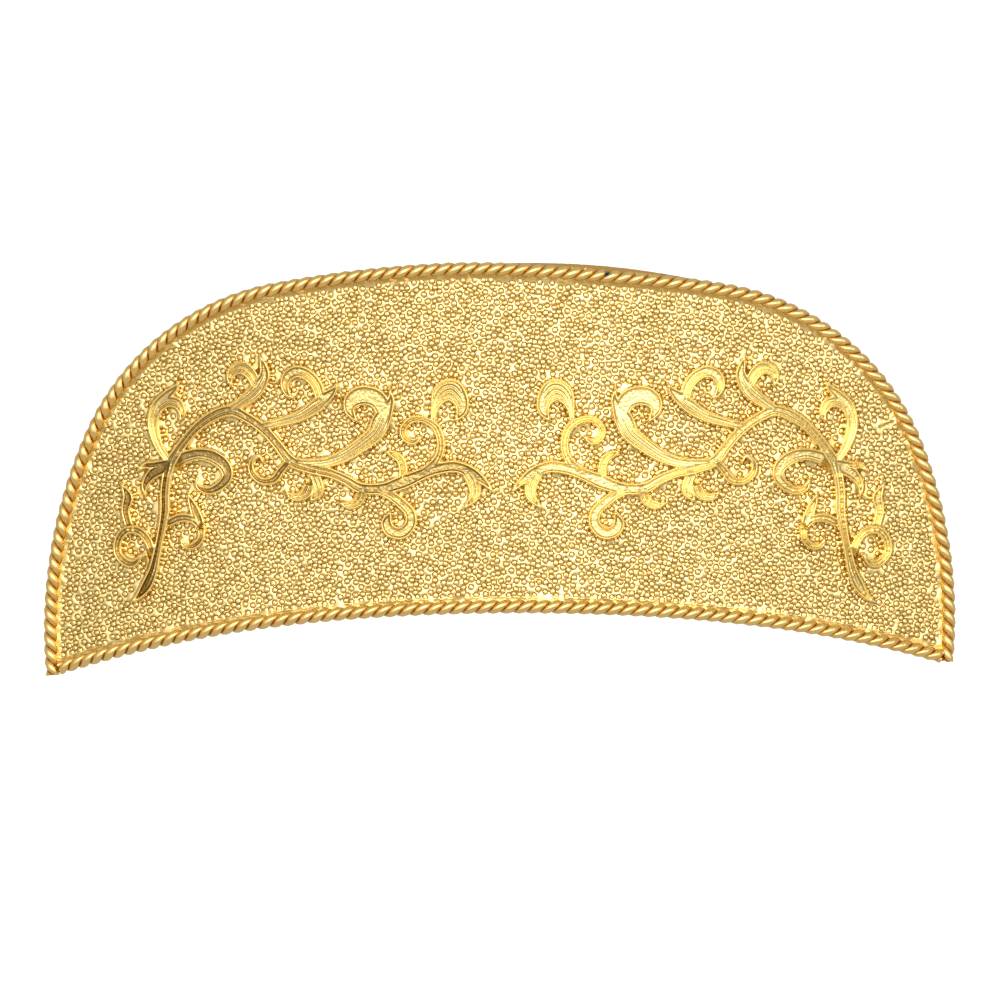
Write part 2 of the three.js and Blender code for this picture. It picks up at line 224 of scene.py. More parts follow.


# One scroll, as strokes over the plan. Each has its height, how dark its hollows are (partly the
# casting's olive patina, partly painted shade), its layer (a higher one lies over the lower), its ribs
# (place across from -1 to 1, from and to along it) and its middle line: distance from the mirror
# line, height in the plan, and width.
scroll = {
    "mirror": 0.6,
    "grid": 0.1,
    "across": (-0.5, 65),
    "up": (-23.5, 20.5),
    "step": 0.3,  # along a stroke
    "thinnest": 0.05,
    "outside": -9,  # how far inside a place counts that no stroke is near
    "flange": 0.35,  # the smooth fillet round it
    "flangeTo": -0.2,
    "flangeHeight": 0.2,
    "wall": (-0.12, 0.1),  # from and to inwards from the outline, where outside is negative
    # the deeper gold round its foot: part fillet, part painted shade where it meets the sheet
    "filletTint": (-0.12, 0.06),
    "rimMiddle": 0.25,
    "rimHalf": 0.23,
    "rimRound": 0.15,  # how far its middle stands over its sides
    "channel": (0.36, 0.54),
    "channelDepth": 0.46,
    "layerLift": 0.22,
    "sprout": (-0.02, 0.1),  # shares of its length over which an upper stroke rises
    "ribWidth": 0.12,
    "ribHeight": 0.75,  # as a share of the channel's depth
    "ribStart": (-0.08, 0.02),  # each rib grows and ends over these shares of its stroke
    "ribEnd": (-0.15, 0.05),
    "heightBlend": 12,  # rounds of softening
    "darkBlend": 8,
    "pitBlend": 2,
    "pits": 0.09,
    "darkLeft": 1,  # the left one's hollows are painted darker
    "darkRight": 0.42,
    "foot": 0.35,  # how far it reaches into the sheet
    "footGrid": 14,  # cells from point to point on its underside
}
strokes = {
    "trunk": {
        "height": 1.6, "dark": 1, "layer": 0,
        "ribs": [(0.15, 0, 0.85), (0.45, 0.05, 0.8)],
        "line": [
            (54.5, 1.3, 2), (55.1, -1.3, 1.8), (55.4, -3.9, 1.8), (55.4, -6.6, 1.8), (55.8, -9.2, 1.6),
            (56.3, -11.7, 1.5), (56.8, -14.1, 1.6), (57.4, -16.6, 1.8), (58.4, -18.9, 2),
            (59.7, -20.7, 1.3), (61, -21.7, 0.3),
        ],
    },
    "stem": {
        "height": 1.7, "dark": 0.72, "layer": 0,
        "ribs": [(0, 0.03, 0.24), (0, 0.45, 0.6)],
        "line": [
            (54.5, 1.2, 2), (52.8, 3.8, 1.8), (50.4, 6.7, 1.8), (47.7, 8.7, 2), (44.6, 9.7, 2),
            (41.6, 8.4, 1.8), (38.9, 6.4, 1.8), (36.7, 3.9, 1.8), (34.7, 1.5, 2), (31.6, 0.3, 2),
            (28.3, -0.5, 1.8), (25.7, -1.6, 1.8), (23.1, -3, 2), (19.5, -3, 2.1), (16.3, -2, 2.5),
            (12.7, -0.5, 2.1), (10.1, 0.3, 2.1), (7.6, 0.5, 2.1), (5, -0.5, 2), (2.9, -2.1, 1.3),
            (1.4, -3.8, 0.3),
        ],
    },
    "endLobe": {
        "height": 1.5, "dark": 0.5, "layer": 0,
        "ribs": [(-0.3, 0, 0.8), (0.25, 0, 0.8)],
        "line": [
            (6, 0, 2), (4.7, -2.3, 2.3), (4.7, -4.4, 1.8), (6.5, -6.4, 0.3),
        ],
    },
    "crest": {
        "height": 1.7, "dark": 0.5, "layer": 0,
        "ribs": [(-0.45, 0, 0.6), (0, 0, 0.7), (0.4, 0.1, 0.6)],
        "line": [
            (45.1, 9.5, 1.6), (42.6, 11.2, 2.1), (40.7, 12.7, 2.5), (39.5, 14.3, 2.3), (39, 15.9, 1.8),
            (39.3, 17.4, 1.2), (39.8, 18.7, 0.3),
        ],
    },
    "crestCurl": {
        "height": 1.7, "dark": 0.5, "layer": 0,
        "ribs": [(-0.45, 0.1, 0.8), (0.1, 0.1, 0.7)],
        "line": [
            (40.4, 13.8, 1.6), (41.2, 15.6, 2.1), (42.5, 16.7, 2.3), (44, 16.4, 2), (44.7, 15.1, 1.3),
            (44.5, 13.8, 0.5),
        ],
    },
    "fan": {
        "height": 1.7, "dark": 0.5, "layer": 0,
        "ribs": [(-0.5, 0, 0.8), (-0.1, 0, 0.8), (0.3, 0.1, 0.7), (0.6, 0.3, 0.8)],
        "line": [
            (39.2, 7.2, 1.5), (35.4, 8.1, 1.8), (32.9, 9, 2.1), (30.6, 10.5, 2.5), (28.8, 12, 2.1),
            (27.7, 13, 1.3), (27, 14.1, 0.3),
        ],
    },
    "fanCurl": {
        "height": 1.7, "dark": 0.5, "layer": 0,
        "ribs": [(0.1, 0, 0.5)],
        "line": [
            (29.7, 11.7, 2), (30.5, 14, 2.1), (32, 15.6, 2.1), (33.8, 16.1, 2.1), (35.2, 15.3, 2),
            (35.7, 13.8, 1.6), (35.1, 12.3, 1), (34.3, 11.8, 0.5),
        ],
    },
    "greatLeaf": {
        "height": 1.8, "dark": 0.5, "layer": 0,
        "ribs": [(-0.6, 0.05, 0.85), (-0.3, 0, 0.8), (0.05, 0, 0.8), (0.4, 0.1, 0.75)],
        "line": [
            (35.1, 1.3, 1.6), (31.8, 1, 1.8), (28.7, 1.3, 2), (26, 2.3, 2.3), (23.5, 3.9, 2.6),
            (21, 5.9, 3), (19.9, 8, 3.3), (18.8, 10.2, 2.1), (18.3, 11.6, 1.3), (18.5, 13.3, 0.3),
        ],
    },
    "greatCurl": {
        "height": 1.8, "dark": 0.5, "layer": 0,
        "ribs": [],
        "line": [
            (19.5, 9.5, 2.6), (20.3, 11.3, 3.2), (21.8, 12.1, 3.3), (23.4, 12.1, 3.3), (24.7, 11.3, 2.8),
            (25.1, 10, 2), (24.6, 8.9, 1.3), (23.9, 8, 0.5),
        ],
    },
    "budCurl": {
        "height": 1.5, "dark": 0.7, "layer": 0,
        "ribs": [],
        "line": [
            (35.1, 1.3, 1.3), (36.4, -0.2, 1.5), (37.5, -1.6, 1.5), (39.5, -1.8, 1.3), (41, -0.5, 1.3),
            (41.2, 1.2, 1), (40, 2.3, 0.8), (39.2, 1.3, 0.5),
        ],
    },
    "rightLobe": {
        "height": 1.4, "dark": 0.5, "layer": 1,
        "ribs": [(-0.35, 0, 0.8), (0.2, 0, 0.7)],
        "line": [
            (31.3, -0.3, 1.5), (30.6, -2.1, 2.5), (30.3, -3.6, 2), (31.3, -4.9, 0.7),
        ],
    },
    "leftLobe": {
        "height": 1.4, "dark": 0.5, "layer": 1,
        "ribs": [(0, 0, 0.8)],
        "line": [
            (31.6, -2, 1.6), (32.1, -3.6, 2), (33.3, -4.4, 1.6), (34.6, -4.3, 1.2), (35.6, -3.5, 0.3),
        ],
    },
    "sepal": {
        "height": 1.4, "dark": 0.5, "layer": 0,
        "ribs": [(0, 0, 0.8)],
        "line": [
            (22.9, -3.1, 1.5), (23.4, -4.8, 1.8), (24.9, -5.8, 1.5), (27, -5.4, 0.3),
        ],
    },
    "lowCurl": {
        "height": 1.6, "dark": 0.5, "layer": 0,
        "ribs": [(0.2, 0, 0.3)],
        "line": [
            (23.1, -3.2, 1.4), (21.5, -3, 1.6), (18.8, -3.9, 1.8), (16.7, -5.4, 1.9), (15.2, -7, 2),
            (15.1, -8.9, 2.1), (16.5, -10.3, 2.2), (18.3, -10, 2.2), (19, -8.7, 2), (18.5, -7.2, 0.8),
        ],
    },
    "hook": {
        "height": 1.5, "dark": 0.5, "layer": 0,
        "ribs": [(-0.2, 0.1, 0.9)],
        "line": [
            (16.3, -1.5, 1.5), (16.3, 0.3, 1.6), (16.8, 1.8, 1.6), (18, 2.6, 1.3), (19.3, 3, 0.3),
        ],
    },
    "tallCurl": {
        "height": 1.8, "dark": 0.5, "layer": 0,
        "ribs": [],
        "line": [
            (15.7, -1.8, 1.5), (12.4, 0, 1.8), (10.6, 2, 1.5), (10.1, 4.4, 1.5), (10.9, 6.9, 1.5),
            (12.9, 8.2, 1.3), (14.9, 8.2, 1.3), (16.3, 6.7, 1.3), (16, 5.3, 1.3), (14.7, 4.6, 1.2),
            (13.4, 5.3, 0.7),
        ],
    },
    "topLeaf": {
        "height": 1.6, "dark": 0.5, "layer": 0,
        "ribs": [(-0.6, 0, 0.7), (-0.25, 0, 0.8), (0.15, 0, 0.7), (0.55, 0, 0.6)],
        "line": [
            (11.4, 8, 0.9), (11, 10.5, 1.7), (10, 12.5, 3.2), (8.4, 13.1, 3.8), (6.9, 11.5, 2.8),
            (6.7, 9.7, 2), (7.6, 8.1, 0.5),
        ],
    },
    "wing": {
        "height": 1.6, "dark": 0.5, "layer": 0,
        "ribs": [(-0.4, 0, 0.6), (0.1, 0, 0.7), (0.5, 0.3, 0.7)],
        "line": [
            (54.8, 1.5, 1.5), (56.3, 3.8, 1.6), (57.1, 6.1, 2), (57.3, 8.2, 2.1), (56.6, 10.4, 2.3),
            (55.1, 12.2, 1.8), (53.8, 13.3, 1.3), (53, 14.5, 0.3),
        ],
    },
    "wingCurl": {
        "height": 1.5, "dark": 0.5, "layer": 0,
        "ribs": [(-0.1, 0, 0.8)],
        "line": [
            (56.3, 10.4, 2), (55, 11.2, 2), (53.5, 11, 2), (52.7, 10, 1.6),
            (52.5, 9, 1.2), (53, 8.1, 0.5),
        ],
    },
    "barb": {
        "height": 1.3, "dark": 0.9, "layer": 0,
        "ribs": [],
        "line": [
            (54.8, 1, 1.8), (57.1, 0.8, 1.5), (58.7, 0.7, 1.2), (60, -0.3, 0.3),
        ],
    },
    "lowBarb": {
        "height": 1.3, "dark": 0.9, "layer": 0,
        "ribs": [],
        "line": [
            (55.9, 0.3, 2.3), (57.6, -0.8, 2), (58.7, -2.6, 1.3), (58.6, -4.6, 0.3),
        ],
    },
    "thorn": {
        "height": 1.3, "dark": 0.8, "layer": 0,
        "ribs": [],
        "line": [
            (61.2, -9.5, 1.5), (61.9, -6.7, 1.6), (61.5, -4.4, 1.8), (62.7, -2.1, 0.3),
        ],
    },
    "outerCurl": {
        "height": 1.5, "dark": 0.65, "layer": 1,
        "ribs": [],
        "line": [
            (57.3, -14.3, 1.3), (58.1, -11.7, 1.5), (59.7, -10, 1.5), (61.7, -9.9, 1.5), (63, -11.3, 1.5),
            (63.2, -13.5, 1.5), (61.9, -15.1, 1.5), (60.5, -15.3, 1.3), (59.2, -14, 0.7),
        ],
    },
    "innerCurl": {
        "height": 1.5, "dark": 0.65, "layer": 1,
        "ribs": [],
        "line": [
            (55.6, -9.2, 1.5), (53.1, -7.9, 1.6), (50.8, -8.1, 1.5), (49.5, -9.5, 1.5),
            (49.5, -11.3, 1.3), (50.8, -12.5, 1.3), (52.3, -12.3, 1), (52.8, -11.3, 0.5),
        ],
    },
    "spur": {
        "height": 1.3, "dark": 0.7, "layer": 1,
        "ribs": [],
        "line": [
            (49.5, -9.4, 1.6), (50, -7.9, 1.9), (50.6, -6.3, 1.7), (51.2, -4.9, 1.1), (51.6, -3.7, 0.3),
        ],
    },
    "roundCurl": {
        "height": 1.6, "dark": 0.8, "layer": 1,
        "ribs": [(-0.4, 0, 0.55)],
        "line": [
            (54, 1, 2.5), (52, 2.1, 2.3), (49.7, 2.6, 2.2), (47.4, 2.1, 2.4), (45.6, 0.7, 2.3),
            (45.1, -1, 2), (46.2, -2.5, 1.8), (48.1, -3.4, 1.5), (49.8, -2.8, 1.1), (50.3, -1.5, 0.5),
        ],
    },
}


def smoothLine(line, step):  # a curve through the points, as short stretches
    points = [np.array(p, float) for p in line]
    points = [2 * points[0] - points[1], *points, 2 * points[-1] - points[-2]]
    smooth = []
    for a, b, c, d in zip(points, points[1:], points[2:], points[3:]):
        count = max(1, math.ceil(np.hypot(*(c - b)[:2]) / step))
        for t in np.arange(count) / count:
            smooth.append(0.5 * (2 * b + (c - a) * t + (2 * a - 5 * b + 4 * c - d) * t**2
                                 + (3 * b - a - 3 * c + d) * t**3))
    return np.array([*smooth, points[-2]])


def ease(low, high, value):
    t = np.clip((value - low) / (high - low), 0, 1)
    return t * t * (3 - 2 * t)


def soften(field, rounds):
    for _ in range(rounds):
        padded = np.pad(field, 1, mode="edge")
        field = (padded[:-2, 1:-1] + 2 * padded[1:-1, 1:-1] + padded[2:, 1:-1]) / 4
        padded = np.pad(field, 1, mode="edge")
        field = (padded[1:-1, :-2] + 2 * padded[1:-1, 1:-1] + padded[1:-1, 2:]) / 4
    return field


def nearestStroke(layer, across, up):  # what the layer's nearest stroke has, all over the grid
    nothing = {
        "edge": -float(scroll["outside"]), "height": 1.5, "dark": 0.5, "half": 1.0,
        "side": 0.0, "along": 0.0, "owner": -1,
    }
    nearest = {name: np.full((len(across), len(up)), value) for name, value in nothing.items()}
    for number, stroke in enumerate(strokes.values()):
        if stroke["layer"] != layer:
            continue
        line = smoothLine(stroke["line"], scroll["step"])
        for i in range(len(line) - 1):
            (a0, u0, w0), (a1, u1, w1) = line[i], line[i + 1]
            reach = max(w0, w1) / 2 + scroll["flange"] + 2 * scroll["grid"]
            rows = slice(*np.searchsorted(across, [min(a0, a1) - reach, max(a0, a1) + reach]))
            columns = slice(*np.searchsorted(up, [min(u0, u1) - reach, max(u0, u1) + reach]))
            x = across[rows, None] - a0
            y = up[None, columns] - u0
            da, du = a1 - a0, u1 - u0
            t = np.clip((x * da + y * du) / (da * da + du * du + 1e-9), 0, 1)
            away = np.hypot(x - t * da, y - t * du)
            half = (w0 + t * (w1 - w0)) / 2
            here = {
                "edge": away - half,  # distance to the outline, minus inside
                "height": stroke["height"],
                "dark": stroke["dark"],
                "half": half,
                "side": np.sign(x * du - y * da) * away / np.maximum(half, scroll["thinnest"]),
                "along": (i + t) / (len(line) - 1),
                "owner": number,
            }
            better = here["edge"] < nearest["edge"][rows, columns]
            for name, value in here.items():
                nearest[name][rows, columns] = np.where(better, value, nearest[name][rows, columns])
    return nearest


def ribField(nearest):  # 1 on top of a rib, 0 away from it
    ribs = np.zeros(nearest["edge"].shape)
    along = nearest["along"]
    for number, stroke in enumerate(strokes.values()):
        for place, start, end in stroke["ribs"]:
            ridge = np.exp(-(((nearest["side"] - place) * nearest["half"] / scroll["ribWidth"]) ** 2))
            begun = ease(start + scroll["ribStart"][0], start + scroll["ribStart"][1], along)
            ended = ease(end + scroll["ribEnd"][0], end + scroll["ribEnd"][1], along)
            ridge = np.maximum(ribs, ridge * (begun * (1 - ended)))
            ribs = np.where(nearest["owner"] == number, ridge, ribs)
    return ribs


def scrollField():
    across = np.arange(*scroll["across"], scroll["grid"])
    up = np.arange(*scroll["up"], scroll["grid"])
    shape = (len(across), len(up))
    inside = np.full(shape, float(scroll["outside"]))
    height = np.zeros(shape)
    hollow = np.zeros(shape)
    for layer in sorted({stroke["layer"] for stroke in strokes.values()}):
        nearest = nearestStroke(layer, across, up)
        deep = -nearest["edge"]
        tall = soften(nearest["height"], scroll["heightBlend"]) + scroll["layerLift"] * layer
        flange = scroll["flangeHeight"] * ease(-scroll["flange"], scroll["flangeTo"], deep)
        wall = ease(*scroll["wall"], deep)
        sunk = ease(*scroll["channel"], deep) * (1 - scroll["ribHeight"] * ribField(nearest))
        rim = np.clip(1 - ((deep - scroll["rimMiddle"]) / scroll["rimHalf"]) ** 2, 0, 1)
        form = flange + (tall - scroll["flangeHeight"]) * wall - scroll["channelDepth"] * sunk * wall
        form = form + scroll["rimRound"] * rim
        if layer:  # the upper strokes rise out of the ones that they grow from
            form = form * ease(*scroll["sprout"], nearest["along"])
        form = np.where(deep > -scroll["flange"], form, 0)
        # the channels are painted darker: partly the casting's olive patina, partly painted shade in the
        # recess
        dark = sunk * wall * soften(nearest["dark"], scroll["darkBlend"])
        hollow = np.where(form > height, dark, hollow)
        height = np.maximum(height, form)
        inside = np.maximum(inside, deep)
    pits = soften(dice.normal(0, 1, shape), scroll["pitBlend"])
    height = soften(height, 1) + scroll["pits"] * pits * hollow
    return across, up, inside, height, hollow


def nearScroll(field, x, y):  # how far a place in the plan is inside either scroll, minus outside
    across, up, inside = field[:3]
    i = ((np.abs(x - scroll["mirror"]) - across[0]) / scroll["grid"]).astype(int)
    j = ((y - up[0]) / scroll["grid"]).astype(int)
    return inside[np.clip(i, 0, len(across) - 1), np.clip(j, 0, len(up) - 1)]


def insideOutline(outline, x, y):
    within = np.zeros(np.shape(x), bool)
    for (x1, y1), (x2, y2) in zip(outline, outline[1:] + outline[:1]):
        if y1 != y2:
            within ^= ((y1 > y) != (y2 > y)) & (x < (x2 - x1) * (y - y1) / (y2 - y1) + x1)
    return within


def fillPlan(outline, inner, gap):  # triangles between an outline and places inside it
    places = [Vector(p) for p in outline] + [Vector(p) for p in inner]
    edges = [(i, (i + 1) % len(outline)) for i in range(len(outline))]
    found = delaunay_2d_cdt(places, edges, [], 1, gap, True)
    number = [ids[0] for ids in found[3]]
    faces = np.array([[number[v] for v in face] for face in found[2]])
    middles = np.array(places)[faces].mean(axis=1)
    return [tuple(face) for face in faces[insideOutline(outline, *middles.T)].tolist()]


# The sheet and its ring marks: each mark is a bead in a round groove, with a lip where it meets
# the next one
plan = {"across": (-75, 75), "up": (-32, 34)}  # the room that the sheet takes
sheet = {
    "archInset": 0.15,
    "baseInset": 0.7,
    "behindRope": 0.45,  # its edge is hidden behind the arch rope, but not where that lies lower
    "archOn": 2,  # degrees that each edge runs on, so that the two cross
    "baseOn": 5,
    "step": 0.8,
    "edgeClear": 0.45,  # no point of the front is nearer to the edge
    "webGrid": 1.0,  # points between the marks
    "webClear": 0.9,
    "webJitter": 0.2,
    "backGrid": 3,
    "backClear": 1.8,
    "merge": {"front": 0.05, "back": 0.01},  # points nearer than this become one
    "wave": 0.05,
    "waveLength": 9,
    "fillet": 1.52,  # from the rope's middle to the foot of the solder
    "filletTop": 1,
    "filletHeight": 0.3,
}
crease = {  # a worn spot on the right: a crease, sunk and painted with shade
    "from": (62.5, 7.1),
    "to": (65.2, 8.2),
    "points": 12,
    "deep": 0.25,
    "clear": 0.95,  # no mark is nearer
    "shade": 0.75,  # painted shade along it, as dark as a mark's groove is at this share of its radius
}
mark = {
    "apart": 1.03,
    "tries": 150000,
    "even": 1.24,  # they push each other this far apart
    "settling": 4,
    "damping": 3,
    "squeezed": 0.82,  # late ones fill the room that is left
    "bead": 0.11,
    "rings": [(0.25, 5, 0.05), (0.455, 7, -0.16), (0.62, 8, 0.04)],  # radius, points, height
    "look": 2.2,  # neighbours are looked for this many radii away
    "size": (0.92, 1.06),
    "height": (0.75, 1.15),
    "tip": 0.2,
    "besideRope": 1.82,
    "besideScroll": 0.5,
    "hug": 0.06,  # those this near to the rope or scroll are placed first
    "groove": (0.53, 0.71, 0.74, 0.92),  # shares of the radius where the groove is bumped in and painted with shade: from, full, full to, gone
}


def sheetOutline():
    line = [Vector(p) for p in edgeLine(arch, -sheet["archInset"], sheet["step"], sheet["archOn"])]
    over = []
    for i, p in enumerate(line):
        along = (line[min(i + 1, len(line) - 1)] - line[max(i - 1, 0)]).normalized()
        over.append(p + Vector((along.y, -along.x)) * sheet["behindRope"] * (1 - dipShare(p.x)))
    under = [Vector(p) for p in edgeLine(base, sheet["baseInset"], sheet["step"], sheet["baseOn"])]
    hits = []
    for i in range(len(over) - 1):
        for j in range(len(under) - 1):
            hit = intersect_line_line_2d(over[i], over[i + 1], under[j], under[j + 1])
            if hit:
                hits.append((i, j, hit))
    (i0, j0, left), (i1, j1, right) = hits[0], hits[-1]
    line = [left, *over[i0 + 1 : i1 + 1], right, *under[j0 + 1 : j1 + 1][::-1]]
    return [tuple(p) for p in line]


def throwDarts(places, darts, apart):  # adds each dart that lands clear of the others
    cells = {}
    for a, b in places:
        cells.setdefault((math.floor(a / apart), math.floor(b / apart)), []).append((a, b))
    for a, b in darts:
        i, j = math.floor(a / apart), math.floor(b / apart)
        near = [p for m in (-1, 0, 1) for n in (-1, 0, 1) for p in cells.get((i + m, j + n), ())]
        if all((a - p[0]) ** 2 + (b - p[1]) ** 2 > apart**2 for p in near):
            cells.setdefault((i, j), []).append((a, b))
            places.append((a, b))


def pushApart(places, outline, field):  # one step: each place moves away from those that crowd it
    crowd = planTree(places)
    moved = []
    for a, b in places:
        here = Vector((a, b, 0))
        push = Vector((0, 0, 0))
        for other, _, away in crowd.find_range(here, mark["even"]):
            if away > 0:
                push += (here - other) * (mark["even"] / away - 1) / mark["damping"]
        moved.append(here + push)
    x, y, _ = np.array(moved).T
    free = insideOutline(outline, x, y) & (-nearScroll(field, x, y) > mark["besideScroll"])
    for i, place in enumerate(moved):
        if free[i] and ropeTree.find(place)[2] > mark["besideRope"]:
            places[i] = (place.x, place.y)


def markPlaces(outline, field):
    x = dice.uniform(*plan["across"], mark["tries"])
    y = dice.uniform(*plan["up"], mark["tries"])
    start, run = np.array(crease["from"]), np.subtract(crease["to"], crease["from"])
    t = np.clip(((x - start[0]) * run[0] + (y - start[1]) * run[1]) / (run @ run), 0, 1)
    creaseGap = np.hypot(x - start[0] - t * run[0], y - start[1] - t * run[1])
    onSheet = insideOutline(outline, x, y) & (creaseGap >= crease["clear"])
    hugging, loose = [], []
    for a, b, good, scrollGap in zip(x, y, onSheet, -nearScroll(field, x, y)):
        if not good or scrollGap < mark["besideScroll"]:
            continue
        ropeGap = ropeTree.find((a, b, 0))[2]
        if ropeGap < mark["besideRope"]:
            continue
        byRope = ropeGap < mark["besideRope"] + mark["hug"]
        byScroll = scrollGap < mark["besideScroll"] + mark["hug"]
        (hugging if byRope or byScroll else loose).append((a, b))
    places = []
    throwDarts(places, hugging + loose, mark["apart"])
    for _ in range(mark["settling"]):
        pushApart(places, outline, field)
    throwDarts(places, loose, mark["squeezed"])
    print("ring marks", len(places))
    return places


# The spots that make up the front: each has its place in the plan, its height over the bend, and
# its distance from its mark's middle, which counts 1 at the mark's lip and between the marks, and
# 2 on the solder and at the edge, which take a deeper gold, part solder and part painted shade
def creaseSpots():
    spots = []
    for t in np.linspace(0, 1, crease["points"]):
        place = np.array(crease["from"]) * (1 - t) + np.array(crease["to"]) * t
        spots.append((*place, -crease["deep"], crease["shade"]))
    return spots


def markSpots(marks, number, tree):  # the rings stop halfway to the next mark
    x, y = marks[number]
    radii = [0, *(radius for radius, _, _ in mark["rings"])]
    levels = [mark["bead"], *(level for _, _, level in mark["rings"])]
    near = [
        Vector(marks[i]) - Vector((x, y))
        for _, i, _ in tree.find_range((x, y, 0), mark["look"] * radii[-1])
        if i != number
    ]
    size = random.uniform(*mark["size"])
    high = random.uniform(*mark["height"])
    tipped = random.uniform(0, 2 * math.pi)
    spots = [(x, y, mark["bead"] * high, 0)]
    for radius, count, _ in mark["rings"]:
        turn = random.uniform(0, 1)
        for i in range(count):
            angle = 2 * math.pi * (i + turn) / count
            way = Vector((math.cos(angle), math.sin(angle)))
            reach = radius * size
            for other in near:
                facing = way.dot(other)
                if facing > 0:
                    reach = min(reach, other.length_squared / (2 * facing))
            level = float(np.interp(reach / size, radii, levels))
            lift = level * (high + mark["tip"] * math.cos(angle - tipped))
            spots.append((x + reach * way.x, y + reach * way.y, lift, reach / size / radii[-1]))
    return spots


def webSpots(tree):  # plain spots where no mark is near
    jitter = sheet["webJitter"]
    spots = []
    for x in np.arange(*plan["across"], sheet["webGrid"]):
        for y in np.arange(*plan["up"], sheet["webGrid"]):
            if tree.find((x, y, 0))[2] > sheet["webClear"]:
                place = (x + random.uniform(-jitter, jitter), y + random.uniform(-jitter, jitter))
                spots.append((*place, 0, 1))
    return spots


def wave(x, y):
    return sheet["wave"] * noise.noise(Vector((x, y, 0)) / sheet["waveLength"])


def ringPunchedSheet(field):
    outline = sheetOutline()
    border = planTree(outline)
    count = len(outline)
    marks = markPlaces(outline, field)
    tree = planTree(marks)
    spots = creaseSpots()
    for number in range(len(marks)):
        spots += markSpots(marks, number, tree)
    spots += webSpots(tree)
    within = insideOutline(outline, *np.array(spots)[:, :2].T)
    front = [(*place, 0, 2) for place in outline]
    for (x, y, height, fromMark), good in zip(spots, within):
        if not good or border.find((x, y, 0))[2] <= sheet["edgeClear"]:
            continue
        ropeGap = ropeTree.find((x, y, 0))[2]
        if ropeGap < sheet["fillet"]:  # the solder runs up to the rope in a smooth fillet
            fromMark = 2
            share = 1 - float(ease(sheet["filletTop"], sheet["fillet"], ropeGap))
            height = sheet["filletHeight"] * share
        front.append((x, y, height, fromMark))
    grid = sheet["backGrid"]
    back = list(outline)
    for x in np.arange(*plan["across"], grid):
        for y in np.arange(*plan["up"], grid):
            if insideOutline(outline, x, y) and border.find((x, y, 0))[2] > sheet["backClear"]:
                back.append((x, y))
    points = [(x, y, float(bentHeight(x)) + height + wave(x, y)) for x, y, height, _ in front]
    points += [(x, y, float(bentHeight(x, bend["thickness"])) + wave(x, y)) for x, y in back]
    first = len(front)
    faces = fillPlan(outline, [spot[:2] for spot in front[count:]], sheet["merge"]["front"])
    backFaces = fillPlan(outline, back[count:], sheet["merge"]["back"])
    faces += [tuple(first + v for v in reversed(face)) for face in backFaces]
    faces += [(i, (i + 1) % count, first + (i + 1) % count, first + i) for i in range(count)]
    fromMarks = [spot[3] for spot in front] + [2] * count + [1] * (len(back) - count)
    piece = meshPiece("sheet", points, faces, fromMark=fromMarks)
    onlyThis(piece)
    bpy.ops.object.mode_set(mode="EDIT")
    bpy.ops.mesh.select_all(action="SELECT")
    bpy.ops.mesh.delete_loose()
    bpy.ops.mesh.select_all(action="SELECT")
    bpy.ops.mesh.normals_make_consistent(inside=False)
    bpy.ops.object.mode_set(mode="OBJECT")
    return piece


def cutEnds(length):  # square at both ends, with the cut rounded
    bpy.ops.object.mode_set(mode="EDIT")
    for place, way in ((0, -1), (length, 1)):
        bpy.ops.mesh.select_all(action="SELECT")
        bpy.ops.mesh.bisect(
            plane_co=(place, 0, 0), plane_no=(way, 0, 0), use_fill=True, clear_outer=True
        )
        bpy.ops.mesh.bevel(offset=rope["endRound"], segments=2, affect="EDGES", clamp_overlap=True)
    bpy.ops.mesh.select_all(action="SELECT")
    bpy.ops.mesh.remove_doubles(threshold=0.01)
    bpy.ops.mesh.normals_make_consistent(inside=False)
    bpy.ops.object.mode_set(mode="OBJECT")


def woundRope(name, line):
    length = sum((b - a).length for a, b in zip(line, line[1:]))
    turns = round(length / rope["pitch"]) / 2
    layLength = length / turns
    winding = rope["radius"] - rope["strand"]
    slant = math.atan2(2 * math.pi * winding, layLength)
    bpy.ops.object.select_all(action="DESELECT")
    bpy.ops.mesh.primitive_circle_add(
        vertices=rope["sides"], radius=rope["strand"], location=(-layLength, winding, 0)
    )
    strand = bpy.context.object
    bpy.ops.object.mode_set(mode="EDIT")
    bpy.ops.transform.resize(value=(1 / math.sin(slant), 1, 1))
    bpy.ops.object.mode_set(mode="OBJECT")
    bpy.ops.object.transform_apply()
    wind = strand.modifiers.new("wind", "SCREW")  # one turn more at each end, which cutEnds takes off
    wind.axis = "X"
    wind.angle = -2 * math.pi * (turns + 2)
    wind.screw_offset = length + 2 * layLength
    wind.steps = wind.render_steps = round(rope["stepsPerTurn"] * (turns + 2))
    applyAll(strand)
    cutEnds(length)
    points = np.array([v.co for v in strand.data.vertices])
    out = np.hypot(points[:, 1], points[:, 2]) / rope["radius"]
    # painted shade on the strands where they meet, near the rope's middle line
    giveAttribute(strand.data, "hollow", 1 - ease(*rope["deep"], out))
    other = copyOf(strand)
    other.data.transform(Matrix.Rotation(math.pi, 4, "X"))
    joinTo(strand, [other])
    path = bpy.data.curves.new(name + "Path", "CURVE")
    path.dimensions = "3D"
    path.twist_mode = "Z_UP"
    path.use_stretch = path.use_deform_bounds = True
    spline = path.splines.new("POLY")
    spline.points.add(len(line) - 1)
    for point, place in zip(spline.points, line):
        point.co = (*place, 1)
    along = bpy.data.objects.new(name + "Path", path)
    bpy.context.scene.collection.objects.link(along)
    lay = strand.modifiers.new("lay", "CURVE")
    lay.object = along
    applyAll(strand)
    bpy.data.objects.remove(along)
    strand.data.shade_smooth()
    return strand


